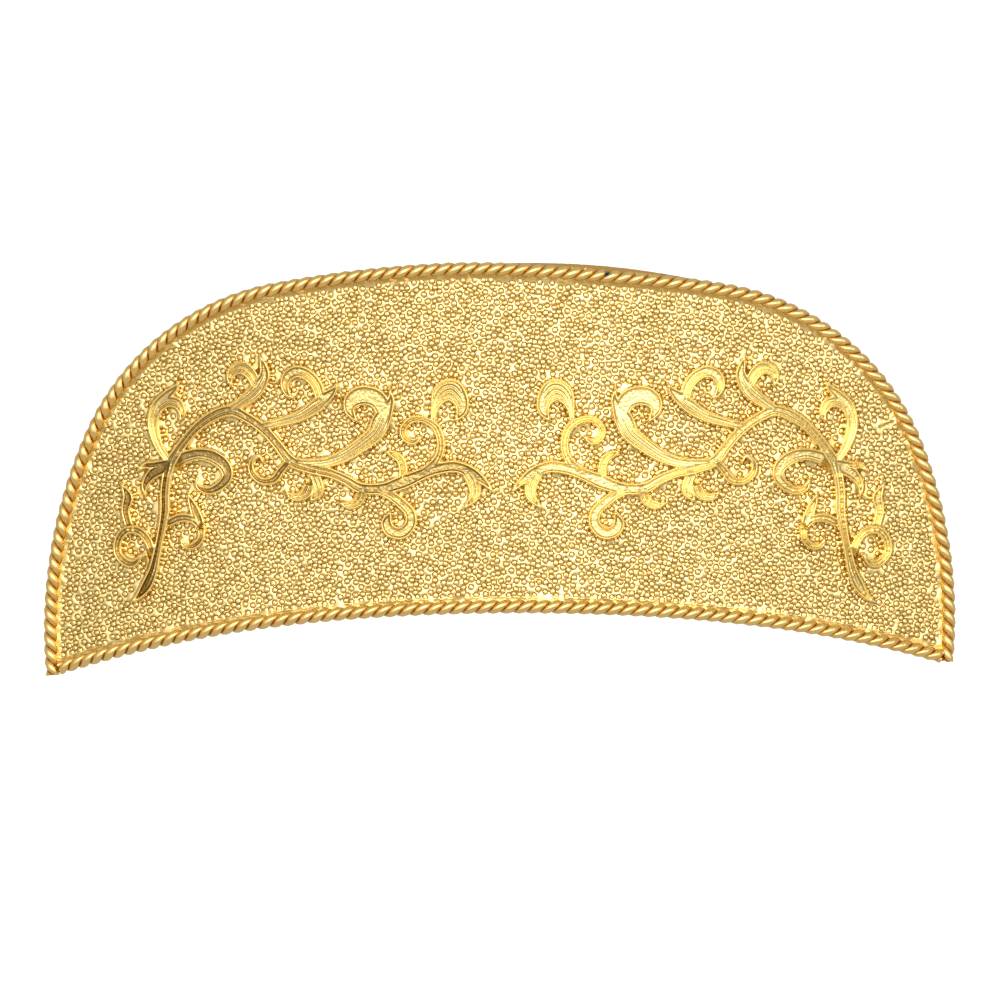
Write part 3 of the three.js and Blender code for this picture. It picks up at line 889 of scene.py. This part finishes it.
# The relief of one scroll: the field's grid, lifted to its height and closed below inside the sheet
def closeCorners(cells, rounds):  # no two cells meet at a corner alone
    for _ in range(rounds):
        a, b, c, d = cells[:-1, :-1], cells[1:, 1:], cells[1:, :-1], cells[:-1, 1:]
        cells[:-1, :-1] |= c & d & ~a & ~b
        cells[1:, :-1] |= a & b & ~c & ~d


def reliefCells(field):
    on = field[2] > -scroll["flange"]
    closeCorners(on, 3)
    cells = on[:-1, :-1] & on[1:, :-1] & on[:-1, 1:] & on[1:, 1:]
    closeCorners(cells, 4)
    return cells


def scrollRelief(name, field, side):
    across, up, inside, height, hollow = field
    cells = reliefCells(field)
    i, j = np.nonzero(cells)
    width = len(up)
    corner = i * width + j
    corners = np.stack([corner, corner + width, corner + width + 1, corner + 1], 1)
    used, faces = np.unique(corners, return_inverse=True)
    faces = faces.reshape(-1, 4)
    a, b = used // width, used % width
    x = scroll["mirror"] + side * across[a]
    y = up[b]
    z = bentHeight(x)
    if side < 0:
        faces = faces[:, ::-1]
    faces = faces.tolist()
    links = dict.fromkeys((v, w) for face in faces for v, w in zip(face, face[1:] + face[:1]))
    rim = [(v, w) for v, w in links if (w, v) not in links]
    rimPoints = sorted({v for edge in rim for v in edge})
    number = {v: n for n, v in enumerate(rimPoints)}
    top = np.stack([x, y, z + height[a, b]], 1)
    top[rimPoints, 2] = z[rimPoints] - scroll["foot"]

    # The underside: a coarse grid inside the rim
    grid = scroll["footGrid"]
    inner = [
        v for v, (p, q) in enumerate(zip(a, b))
        if p % grid == 0 and q % grid == 0 and v not in number
        and 0 < p < len(cells) - 1 and cells[p - 1 : p + 1, q - 1 : q + 1].all()
    ]
    places = [Vector((x[v], y[v])) for v in rimPoints + inner]
    found = delaunay_2d_cdt(places, [(number[v], number[w]) for v, w in rim], [], 1, 0.001, True)
    ids = [n[0] for n in found[3]]
    foot = [(x[v], y[v], z[v] - scroll["foot"]) for v in inner]
    index = rimPoints + list(range(len(top), len(top) + len(foot)))
    under = []
    for face in found[2]:
        three = [ids[v] for v in face]
        middle = sum((places[n] for n in three), Vector((0, 0))) / 3
        p = int((abs(middle.x - scroll["mirror"]) - across[0]) / scroll["grid"])
        q = int((middle.y - up[0]) / scroll["grid"])
        if cells[p, q]:
            under.append([index[n] for n in reversed(three)])
    # painted darkening of the hollows, stronger on the left
    sideDarkening = scroll["darkLeft"] if side < 0 else scroll["darkRight"]
    hollows = [*(sideDarkening * hollow[a, b]), *[0] * len(foot)]
    # deeper gold at the foot and just outside the outline: part fillet, part painted shade in the corner
    fillets = [*(1 - ease(*scroll["filletTint"], inside[a, b])), *[1] * len(foot)]
    return meshPiece(name, top.tolist() + foot, faces + under, hollow=hollows, fillet=fillets)


# The rivets: cast in one with the scroll, through the sheet, each with a plain head behind it
rivet = {
    "places": [(54.4, 1.6), (34.7, 1.5), (10.1, 0.3)],
    "post": 0.8,  # radius
    "head": 1.5,  # radius
    "thick": 0.5,
    "gap": 0.3,
    "reach": 0.7,  # of the post, up into the scroll
    "round": 0.18,
    "sides": 32,
}


def pickFaces(piece, way):  # those that face down (-1) or up (1)
    bpy.ops.object.mode_set(mode="EDIT")
    bpy.ops.mesh.select_all(action="DESELECT")
    bpy.ops.object.mode_set(mode="OBJECT")
    for face in piece.data.polygons:
        face.select = face.normal.z * way > 0.9
    bpy.ops.object.mode_set(mode="EDIT")


def rivets(side):
    back = -bend["thickness"] - rivet["gap"]
    under = (0, 0, back - rivet["thick"] / 2)
    bpy.ops.object.select_all(action="DESELECT")
    bpy.ops.mesh.primitive_cylinder_add(
        vertices=rivet["sides"], radius=rivet["head"], depth=rivet["thick"], location=under
    )
    first = bpy.context.object
    bpy.ops.object.transform_apply()
    pickFaces(first, -1)
    bpy.ops.mesh.bevel(offset=rivet["round"], segments=3, affect="EDGES")
    pickFaces(first, 1)
    bpy.ops.mesh.inset(thickness=rivet["head"] - rivet["post"])
    bpy.ops.mesh.extrude_region_move(TRANSFORM_OT_translate={"value": (0, 0, rivet["reach"] - back)})
    bpy.ops.object.mode_set(mode="OBJECT")
    copies = [copyOf(first) for _ in rivet["places"][1:]]
    for piece, (across, up) in zip([first, *copies], rivet["places"]):
        piece.data.transform(standAt(scroll["mirror"] + side * across, up))
    joinTo(first, copies)
    bpy.ops.object.shade_smooth_by_angle(angle=sharpAngle)
    return first


# The strap loops on the back: strips bent square and soldered on
loop = {
    "across": 40,
    "up": -4,
    "width": 9,
    "gap": 6.2,
    "strip": 0.9,  # thickness
    "depth": 2,  # width of the strip
    "corner": 1.5,  # radius of the bend
    "cornerSteps": 6,
    "sink": 0.4,  # soldered this deep
    "soft": 0.15,
}


def strapLoop(side):
    strip = loop["strip"]
    bpy.ops.object.select_all(action="DESELECT")
    bpy.ops.mesh.primitive_plane_add(size=1, location=(-(loop["width"] - strip) / 2, 0, loop["sink"]))
    piece = bpy.context.object
    bpy.ops.object.mode_set(mode="EDIT")
    bpy.ops.transform.resize(value=(strip, loop["depth"], 1))
    straight = loop["gap"] + strip - loop["corner"] + loop["sink"]
    bpy.ops.mesh.extrude_region_move(TRANSFORM_OT_translate={"value": (0, 0, -straight)})
    turnAt = loop["width"] / 2 - loop["corner"]
    low = loop["sink"] - straight
    bpy.ops.mesh.spin(
        steps=loop["cornerSteps"], angle=-math.pi / 2, center=(-turnAt, 0, low), axis=(0, 1, 0)
    )
    bpy.ops.mesh.extrude_region_move(TRANSFORM_OT_translate={"value": (2 * turnAt, 0, 0)})
    bpy.ops.mesh.spin(
        steps=loop["cornerSteps"], angle=-math.pi / 2, center=(turnAt, 0, low), axis=(0, 1, 0)
    )
    bpy.ops.mesh.extrude_region_move(TRANSFORM_OT_translate={"value": (0, 0, straight)})
    bpy.ops.mesh.select_all(action="SELECT")
    bpy.ops.mesh.remove_doubles(threshold=0.001)
    bpy.ops.mesh.normals_make_consistent(inside=False)
    bpy.ops.object.mode_set(mode="OBJECT")
    bpy.ops.object.transform_apply()
    soft = piece.modifiers.new("soft", "BEVEL")
    soft.width = loop["soft"]
    soft.segments = 2
    soft.limit_method = "ANGLE"
    soft.angle_limit = sharpAngle
    applyAll(piece)
    bpy.ops.object.shade_smooth_by_angle(angle=sharpAngle)
    piece.data.transform(standAt(side * loop["across"], loop["up"], bend["thickness"]))
    return piece


# The finishes. Roughness is that of the bright metal, and the hollows are duller, and painted darker
# as shade. The grit, its height and the depth of the groove are in millimetres.
finish = {
    "patchScale": 90,  # patches about 11 mm across
    "patchRange": (0.35, 0.75),
    "patchShare": 0.2,  # of the shade that they take
    "dulling": 0.15,
    # the solder round the rope and the sheet's edge: a deeper gold, part their own colour, part painted
    # shade beside the rope
    "solderAndShade": "DCA850",
    "solderAndShadeRange": (1.1, 1.7),  # between a mark's lip and the solder
    "solderAndShadeShare": 0.8,
    "stain": "55546A",
    "stainPlace": (17.7, 32.1, 1.3),  # over the bent front
    "stainSize": (0.0002, 0.0008),  # metres from its middle: full, gone
    "stainShare": 0.9,
}


def gilt(name, bright, shade, roughness, grit, gritHeight, grooveDepth=0, foot=None, stain=None):
    material = bpy.data.materials.new(name)
    material.use_nodes = True
    tree = material.node_tree
    shader = tree.nodes["Principled BSDF"]
    shader.inputs["Metallic"].default_value = 1
    place = addNode(tree, "ShaderNodeTexCoord").outputs["Object"]
    if grooveDepth:
        fromMark = addNode(tree, "ShaderNodeAttribute", {"attribute_name": "fromMark"}).outputs["Fac"]
        # the groove round each bead: sunk by the bump and painted darker as shade
        slopes = []
        for low, high in (mark["groove"][:2], mark["groove"][2:]):
            slopes.append(addNode(
                tree, "ShaderNodeMapRange",
                {"interpolation_type": "SMOOTHSTEP", "From Min": low, "From Max": high},
                {"Value": fromMark},
            ).outputs["Result"])
        hollow = addNode(
            tree, "ShaderNodeMath", {"operation": "SUBTRACT"}, {0: slopes[0], 1: slopes[1]}
        ).outputs[0]
    else:
        hollow = addNode(tree, "ShaderNodeAttribute", {"attribute_name": "hollow"}).outputs["Fac"]
    patches = addNode(
        tree, "ShaderNodeTexNoise", {"Scale": finish["patchScale"], "Detail": 3}, {"Vector": place}
    ).outputs["Fac"]
    low, high = finish["patchRange"]
    patchShare = addNode(
        tree, "ShaderNodeMapRange",
        {"From Min": low, "From Max": high, "To Max": finish["patchShare"]}, {"Value": patches},
    ).outputs["Result"]
    colour = addNode(
        tree, "ShaderNodeMix",
        {"data_type": "RGBA", 6: linear(bright), 7: linear(shade)}, {0: patchShare},
    ).outputs[2]
    # painted shade in the hollows, grooves and crevices, then the other tints
    tints = [(hollow, shade)]
    if grooveDepth:
        # the solder and edge tint: part solder colour, part painted shade beside the rope
        low, high = finish["solderAndShadeRange"]
        solderAndShade = addNode(
            tree, "ShaderNodeMapRange",
            {"From Min": low, "From Max": high, "To Max": finish["solderAndShadeShare"]}, {"Value": fromMark},
        ).outputs["Result"]
        tints.append((solderAndShade, finish["solderAndShade"]))
    if stain:
        away = addNode(
            tree, "ShaderNodeVectorMath", {"operation": "DISTANCE", 1: stain}, {0: place}
        ).outputs["Value"]
        low, high = finish["stainSize"]
        spot = addNode(
            tree, "ShaderNodeMapRange",
            {"From Min": low, "From Max": high, "To Min": finish["stainShare"], "To Max": 0},
            {"Value": away},
        ).outputs["Result"]
        tints.append((spot, finish["stain"]))
    # the scroll's foot tint: part fillet, part painted shade in the corner
    if foot:
        fillet = addNode(tree, "ShaderNodeAttribute", {"attribute_name": "fillet"}).outputs["Fac"]
        tints.append((fillet, foot))
    for share, tint in tints:
        colour = addNode(
            tree, "ShaderNodeMix", {"data_type": "RGBA", 7: linear(tint)}, {0: share, 6: colour}
        ).outputs[2]
    tree.links.new(colour, shader.inputs["Base Color"])
    rough = addNode(
        tree, "ShaderNodeMapRange", {"To Min": roughness, "To Max": roughness + finish["dulling"]},
        {"Value": hollow},
    ).outputs["Result"]
    tree.links.new(rough, shader.inputs["Roughness"])
    grain = addNode(
        tree, "ShaderNodeTexNoise", {"Scale": 1000 / grit, "Detail": 2}, {"Vector": place}
    ).outputs["Fac"]
    height = addNode(
        tree, "ShaderNodeMath", {"operation": "MULTIPLY", 1: gritHeight}, {0: grain}
    ).outputs[0]
    if grooveDepth:
        height = addNode(
            tree, "ShaderNodeMath",
            {"operation": "MULTIPLY_ADD", 1: -grooveDepth}, {0: hollow, 2: height},
        ).outputs[0]
    bump = addNode(
        tree, "ShaderNodeBump", {"Strength": 1, "Distance": 0.001}, {"Height": height}
    ).outputs["Normal"]
    tree.links.new(bump, shader.inputs["Normal"])
    return material


# Gilt brass sheet, punched all over with a ring punch and burnished: small bright beads in rings
# darkened with painted shade, with a bright web between them. The grain is drawn coarser than the real
# one, so it shows.
giltBrassPunched = gilt(
    "giltBrassPunched", "FCE298", "AC8038", roughness=0.19, grit=0.35, gritHeight=0.02, grooveDepth=0.1
)
# Gilt brass wire, drawn, twisted and soldered on: smooth and bright, with painted shade in a deeper
# gold between its strands, and one blue-black stain near the top.
stainX, stainY, stainOver = finish["stainPlace"]
stainedAt = tuple(layDown @ Vector((stainX, stainY, float(bentHeight(stainX)) + stainOver)))
giltBrassWire = gilt(
    "giltBrassWire", "F6D284", "CC9644", roughness=0.2, grit=0.3, gritHeight=0.02, stain=stainedAt
)
# Gilt brass casting, chased and then burnished on its edges alone: pale rims round pitted hollows,
# darkened partly by olive patina and partly by painted shade, and a deeper gold where it runs out into
# the sheet, part fillet and part painted shade in the corner.
giltBrassCasting = gilt(
    "giltBrassCasting", "FFE496", "7C5C26", roughness=0.18, grit=0.25, gritHeight=0.02, foot="CCA85C"
)

field = scrollField()
settle(ringPunchedSheet(field), "sheet", "plate", giltBrassPunched)
settle(woundRope("archRope", archRopeLine), "archRope", "plate", giltBrassWire)
settle(woundRope("baseRope", baseRopeLine), "baseRope", "plate", giltBrassWire)
for name, side in (("Left", -1), ("Right", 1)):
    node = "scroll_" + name.lower()
    relief = scrollRelief("scroll" + name, field, side)
    settle(relief, "scroll" + name, node, giltBrassCasting)
    settle(rivets(side), "rivets" + name, node, giltBrassCasting)
    settle(strapLoop(side), "strapLoop" + name, "plate", giltBrassWire)

# The stage: a plain pale floor and soft light, placed by the way that the front faces
shot = {"aim": (0.16, -4.93), "lens": 800, "across": 163.6, "clip": 20}  # clip in metres, the rest in mm
light = {"sun": 3.2, "sunSpread": 60, "room": 0.6}
softboxes = {  # metres to the right, up and out from the aim, then size and radiance
    "key": ((0.05, 0.18, 0.6), (0.72, 0.28), 2.95),
    "over": ((0, 0.3, 1.0), (3.4, 1.2), 0.6),
    "beside": ((1.2, 0.2, 0.7), (0.6, 1.2), 0.8),
}
front = (layDown.to_3x3() @ Vector((0, 0, 1))).normalized()
upward = (layDown.to_3x3() @ Vector((0, 1, 0))).normalized()
rightward = upward.cross(front)
facing = Matrix((rightward, upward, front)).transposed().to_4x4()
middle = layDown @ Vector((*shot["aim"], 0))

bpy.ops.mesh.primitive_plane_add(size=4, location=(0, 0, 0))
floor = bpy.context.object
floor.name = "floor"
paper = bpy.data.materials.new("paper")
paper.use_nodes = True
paper.node_tree.nodes["Principled BSDF"].inputs["Base Color"].default_value = linear("FAFAFA")
paper.node_tree.nodes["Principled BSDF"].inputs["Roughness"].default_value = 0.9
floor.data.materials.append(paper)
floor.visible_glossy = False  # the rope's outer side shows a dim room, not the lit floor

for name, ((right, up, out), (wide, tall), radiance) in softboxes.items():
    bpy.ops.object.light_add(type="AREA")
    lamp = bpy.context.object
    lamp.name = name
    lamp.data.shape = "RECTANGLE"
    lamp.data.size = wide
    lamp.data.size_y = tall
    lamp.data.energy = radiance * math.pi * wide * tall
    place = middle + rightward * right + upward * up + front * out
    lamp.matrix_world = Matrix.Translation(place) @ facing
bpy.ops.object.light_add(type="SUN", rotation=(0, 0, 0))
sun = bpy.context.object
sun.name = "floorLight"
sun.data.energy = light["sun"]
sun.data.angle = math.radians(light["sunSpread"])
sun.visible_glossy = False

world = bpy.data.worlds.new("room")
world.use_nodes = True
world.node_tree.nodes["Background"].inputs["Color"].default_value = (1, 1, 1, 1)
world.node_tree.nodes["Background"].inputs["Strength"].default_value = light["room"]
bpy.context.scene.world = world
bpy.context.scene.view_settings.view_transform = "Standard"

bpy.ops.object.camera_add()
camera = bpy.context.object
camera.data.lens = shot["lens"]
camera.data.clip_end = shot["clip"]
distance = shot["lens"] * shot["across"] / camera.data.sensor_width / 1000
camera.matrix_world = Matrix.Translation(middle + front * distance) @ facing
bpy.context.scene.camera = camera
print("stage set")
